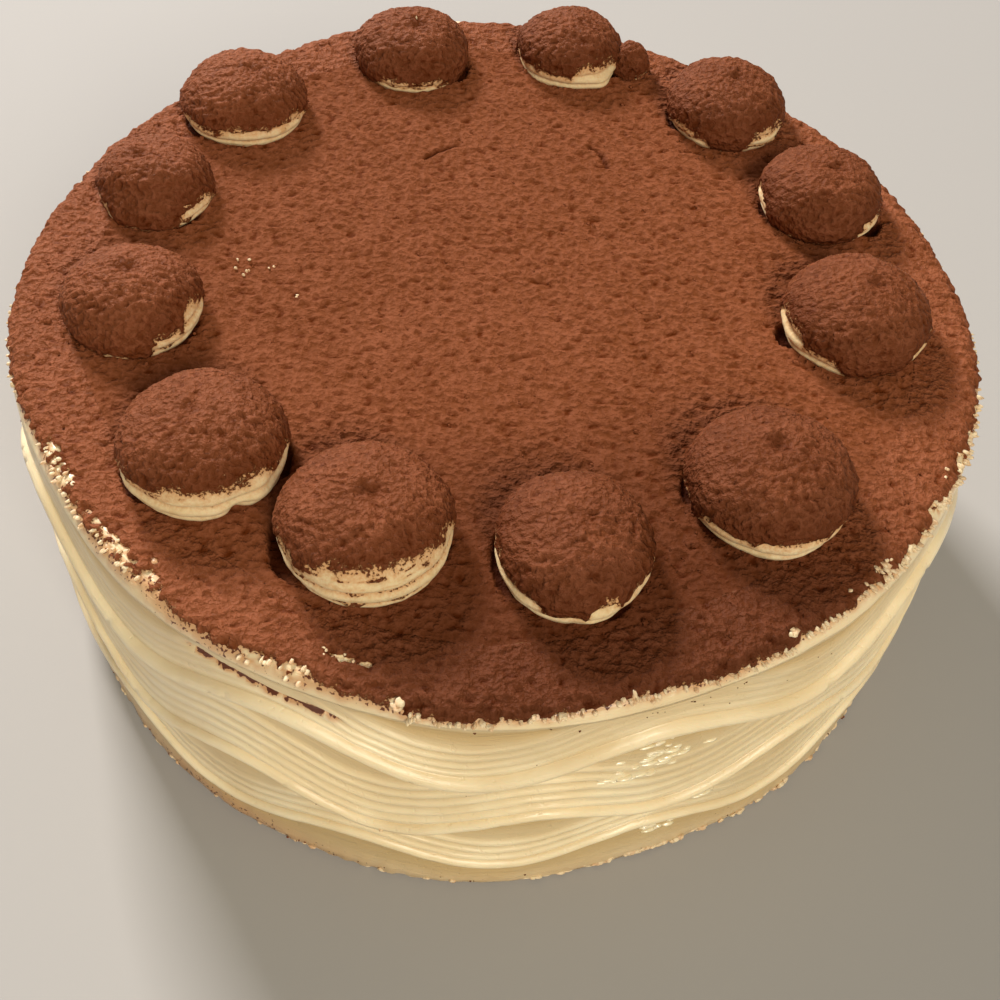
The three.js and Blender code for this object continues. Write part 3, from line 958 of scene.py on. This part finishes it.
class Heap:
    """Small uneven balls of one kind, joined in one mesh on the cake."""

    def __init__(self, name, seed, least, most):
        self.name = name
        self.draw = np.random.default_rng(seed)
        self.least, self.most = least, most
        self.places, self.angles, self.sizes = [], [], []

    def add(self, places, angles, size=1):
        """Balls of size times a draw from least to most: across, along the radius and up."""
        self.places.append(places)
        self.angles.append(angles)
        self.sizes.append(size * self.draw.uniform(self.least, self.most, size=(len(places), 3)))

    def join(self, material, slot, rings, sides, **fields):
        """Makes the piece. Each field is a function that gives a number for each point."""
        places, angles, sizes = map(np.concatenate, (self.places, self.angles, self.sizes))
        unit, faces = ball(rings, sides)
        seeds = self.draw.uniform(0, 400, size=(len(places), 1, 3))
        shape = unit * (1 + BALL_UNEVEN * lumps(unit * 1.1 + seeds, 1, 2))[..., None]
        across, outward, up = (shape[..., axis] * sizes[:, None, axis] for axis in range(3))
        cos, sin = np.cos(angles)[:, None], np.sin(angles)[:, None]
        points = np.stack([outward * cos - across * sin, outward * sin + across * cos, up], axis=-1)
        points = (points + places[:, None, :]).reshape(-1, 3)
        shift = (np.arange(len(places)) * len(unit))[:, None, None]
        faces = [(part + shift).reshape(-1, part.shape[1]) for part in faces]
        numbers = {key: field(points) for key, field in fields.items()}
        add_piece(make_mesh(self.name, points, faces, **numbers), material)


# Nubs of cream right at the cocoa's ragged edge: from and to direction, how many, size
EDGE_NUBS = [
    (264, 292, 70, 0.5), (292, 333, 120, 0.5), (209, 233, 40, 0.45), (246, 254, 12, 0.5),
    (116, 125, 12, 0.6), (60, 108, 20, 0.45), (335, 420, 50, 0.45), (128, 206, 50, 0.45),
    (318, 350, 70, 0.55),
]
# Nubs farther in: from and to direction, millimetres in, how many, size
RIM_NUBS = [
    (262.4, 263.2, 4.3, 3, 0.8), (303.8, 305, 6.4, 4, 0.6), (311, 320, 6.2, 9, 0.4),
    (334, 335.6, 6.5, 3, 0.35), (253.5, 260, 11.6, 10, 0.3), (209, 218, 6.4, 14, 0.4),
]
# Lumps of cream along the foot: from and to direction, how many, size
FOOT_NUBS = [(278, 352, 90, 0.75), (200, 278, 30, 0.55), (-8, 200, 80, 0.65)]
# Crumbs of cream on the cocoa: x, y, how many, spread, size
TOP_CRUMBS = [(-69.5, 3, 6, 2, 0.38), (-62.4, 5, 2, 0.6, 0.34), (-54.3, -6, 2, 0.8, 0.34)]
# Crumbs of cream on the side, at the torn lips: direction, height, how many, size
SIDE_CRUMBS = [
    (247, 38.5, 5, 0.6), (259, 31.5, 4, 0.5), (254, 67, 2, 0.5), (40, 36, 4, 0.5), (96, 60, 2, 0.5),
    (150, 34, 3, 0.5),
]
RIM_SMEAR = (98.6, 2, (3.2, 1.6, 2.4))  # a larger smear on the back rim: direction, in, sizes
TIP_NUB = ("mound_12", (1.5, 1), (0.4, 0.4, 1.5))  # cream that the nozzle drew up: mound, x, y, sizes


def on_side(angle, height, lift=0):
    """Points on the combed side, or `lift` millimetres off it."""
    heights, outs, _ = side_rows(angle)
    out = np.array([np.interp(*spot) for spot in zip(height, heights.T, outs.T)])
    radius = CAKE_RADIUS + out + cream_relief(angle, height, out) + lift
    return on_circle(angle, height, radius * (1 + outline(angle, height) / CAKE_RADIUS))


def on_top(spots, lift):
    """Direction, distance inward from the shoulder's foot, and place of spots on the top."""
    angle = np.arctan2(spots[:, 1], spots[:, 0])
    along = FLAT_REACH - np.hypot(*spots.T)
    return angle, along, shoulder(angle, along, lift)


def make_cream_bits(material):
    """Nubs and crumbs of cream: along the rim and the foot, on the cocoa and at torn strokes."""
    heap = Heap("cream_bits", 21, least=(0.7, 0.8, 0.6), most=(1.3, 1.6, 1.2))
    draw = heap.draw
    for start, end, count, size in EDGE_NUBS:
        angle = np.radians(draw.uniform(start, end, 12 * count))
        inward = draw.uniform(0.5, 8, len(angle))
        edge = np.flatnonzero(np.abs(cocoa_cover(angle, inward)) < 0.7)[:count]
        angle, inward = angle[edge], inward[edge]
        heap.add(shoulder(angle, inward, 0.3), angle, size * np.array([1, 1.6, 0.8]))
    for start, end, along, count, size in RIM_NUBS:
        angle = np.radians(draw.uniform(start, end, count))
        inward = along + draw.uniform(-1, 1, count)
        powder = 0.55 * (cocoa_cover(angle, inward) > 0.5)
        heap.add(shoulder(angle, inward, 0.1 * size + powder), angle, size * np.array([1.4, 1.1, 0.7]))
    for start, end, count, size in FOOT_NUBS:
        angle = np.radians(draw.uniform(start, end, count))
        height = 0.9 * size + draw.uniform(0, 1.4, count)
        heap.add(on_side(angle, height, -0.1), angle, size * np.array([1.7, 0.7, 0.9]))
    for x, y, count, spread, size in TOP_CRUMBS:
        angle, _, where = on_top(np.array([x, y]) + draw.normal(0, spread, (count, 2)), 0.95)
        heap.add(where, angle, size)
    for at, height, count, size in SIDE_CRUMBS:
        angle = np.radians(at + draw.normal(0, 1.2, count))
        heap.add(on_side(angle, height + draw.normal(0, 1, count)), angle, size)
    at, along, size = RIM_SMEAR
    angle = np.radians([at])
    heap.add(shoulder(angle, along, 0.6), angle, np.array(size))
    node, aside, size = TIP_NUB
    mound = MOUNDS[node]
    peak = [*(mound.centre + aside), mound.foot + MOUND_DOME * mound.tall]
    heap.add(np.array([peak]), np.zeros(1), np.array(size))
    heap.join(material, "cream", 8, 10)


def make_torn_cream(material):
    """Small wet curls of cream that the comb pulled up in the torn patches."""
    heap = Heap("cream_torn", 23, least=(1, 0.7, 0.25), most=(2.8, 0.9, 0.6))
    for at, high, wide, tall in TORN:
        count = int(1.2 * wide * tall) + 5
        angle = np.radians(at + 0.6 * wide * heap.draw.normal(size=count))
        height = high + 0.5 * tall * heap.draw.normal(size=count)
        height = height - TORN_SLANT * (np.degrees(angle) - at)
        heap.add(on_side(angle, height, -0.25), angle)
    heap.join(material, "cream", 8, 10)


# Specks of cocoa on the cream: from and to direction, from and to height, how many
SIDE_SPECKS = [
    (286, 303, 76, 84, 5), (303, 316, 60, 80, 3), (262, 300, 82, 85, 9), (200, 340, 30, 84, 6),
    (-20, 200, 20, 85, 12), (0, 360, 0.6, 4, 120),
]
TOP_SPECKS, SPECKS_WITHIN = 1000, CAKE_RADIUS - 6
FOOT_SPECKS = 45  # round each mound
SIDE_GRAIN, TOP_GRAIN, FOOT_GRAIN = (0.15, 0.4), (0.25, 0.6), (0.35, 0.9)  # smallest and largest


def make_cocoa_grains(material):
    """Loose grains and small clumps of cocoa on the top, round the mounds and on the cream."""
    heap = Heap("cocoa_grains", 22, least=(0.8, 0.8, 0.5), most=(1.3, 1.3, 0.9))
    draw = heap.draw

    def add(where, angle, smallest, largest):
        across = smallest + (largest - smallest) * draw.uniform(0, 1, len(where)) ** 2.5
        heap.add(where, angle, across[:, None])

    def add_on_top(spots, grain):
        angle, along, where = on_top(spots, 0.7)
        inside = (along > 7) & (beside_mounds(where)[0] < 0.1)
        add(where[inside], angle[inside], *grain)

    for start, end, low, high, count in SIDE_SPECKS:
        angle = np.radians(draw.uniform(start, end, count))
        add(on_side(angle, draw.uniform(low, high, count)), angle, *SIDE_GRAIN)
    radius = SPECKS_WITHIN * np.sqrt(draw.uniform(0, 1, TOP_SPECKS))
    turn = draw.uniform(0, 2 * math.pi, TOP_SPECKS)
    add_on_top(on_circle(turn, 0, radius)[:, :2], TOP_GRAIN)
    for mound in MOUNDS.values():
        turn = draw.uniform(0, 2 * math.pi, FOOT_SPECKS)
        share = 0.95 + draw.exponential(0.09, FOOT_SPECKS)
        add_on_top(mound.centre + on_circle(turn, 0, share)[:, :2] * mound.reach, FOOT_GRAIN)
    heap.join(material, "cocoa", 4, 6, damp=front_shade)


def bits_material():
    """Torn-off cream, matt with a little cocoa on it."""
    shader = Shader(
        "cream_crumb", Specular_IOR_Level=0.4, Roughness=0.5, Subsurface_Scale=0.002, **SOFT_CREAM,
    )
    speck = shader.ramp(shader.noise(2.2), 0.35, 0.7, 0.2, 0.65)
    colour = shader.mix(speck, CREAM_LIGHT, CREAM_DUST_AND_SHADE)
    return shader.finish(Base_Color=colour, Normal=shader.bump(shader.noise(0.6), 0.15))


def wet_cream_material():
    """Cream that was torn open and glistens."""
    shader = Shader(
        "wet_cream", Specular_IOR_Level=0.6, Roughness=0.3, Coat_Weight=1, Coat_Roughness=0.2,
        Subsurface_Weight=0.15, Subsurface_Scale=0.002, Subsurface_Radius=(1, 0.6, 0.35),
    )
    return shader.finish(Base_Color=CREAM_LIGHT)


# ---- Camera, light and floor ----

CAMERA_PLACE = (0.0019, -0.2753, 0.3462)  # metres, as are the lights' places and sizes
CAMERA_YAW, CAMERA_PITCH, CAMERA_ROLL = 0.0085, 0.8983, 0.0706  # right, down and tilt, radians
CAMERA_LENS = 48.6
LIGHTS_FACE = Vector((0, 0, 0.07))
FLOOR_SIZE, FLOOR_COLOUR = 24, from_srgb(168, 166, 164)
WORLD_COLOUR, WORLD_STRENGTH = (1, 0.92, 0.8, 1), 0.24


def make_camera():
    """The photograph's viewpoint: close, looking steeply down, a little tilted."""
    data = bpy.data.cameras.new("camera")
    data.lens = CAMERA_LENS
    data.clip_start = 0.01
    camera = add_object("camera", data)
    yaw = Matrix.Rotation(-CAMERA_YAW, 4, "Z")
    pitch = Matrix.Rotation(math.pi / 2 - CAMERA_PITCH, 4, "X")
    roll = Matrix.Rotation(CAMERA_ROLL, 4, "Z")
    camera.matrix_world = Matrix.Translation(CAMERA_PLACE) @ yaw @ pitch @ roll
    bpy.context.scene.camera = camera


def make_light(name, place, size, watts, colour):
    """A soft square light that faces the cake."""
    data = bpy.data.lights.new(name, "AREA")
    data.size = size
    data.energy = watts
    data.color = colour
    light = add_object(name, data)
    light.location = place
    light.rotation_euler = (LIGHTS_FACE - Vector(place)).to_track_quat("-Z", "Y").to_euler()


def make_stage():
    """A plain pale floor and soft studio light, the main one from behind on the left."""
    bpy.ops.mesh.primitive_plane_add(size=FLOOR_SIZE)
    floor = bpy.context.object
    floor.name = "floor"
    floor.data.materials.append(Shader("floor", Roughness=0.8).finish(Base_Color=FLOOR_COLOUR))

    make_light("key", (-1.45, 2.5, 1.97), size=0.79, watts=194, colour=(1, 0.95, 0.91))
    make_light("front", (0.66, -1.6, 1.35), size=0.75, watts=31, colour=(1, 0.93, 0.78))
    world = bpy.data.worlds.new("world")
    world.use_nodes = True
    background = world.node_tree.nodes["Background"]
    background.inputs["Color"].default_value = WORLD_COLOUR
    background.inputs["Strength"].default_value = WORLD_STRENGTH
    bpy.context.scene.world = world
    bpy.context.scene.view_settings.view_transform = "Standard"


# ---- Assembly ----

make_camera()
make_stage()
cocoa = cocoa_material()
dusted = dusted_cream_material()
make_cream_body(combed_cream_material())
make_cocoa_rim(dusted)
make_cocoa_top(cocoa)
for mound in MOUNDS.values():
    make_mound(mound, dusted)
make_cream_bits(bits_material())
make_torn_cream(wet_cream_material())
make_cocoa_grains(cocoa)
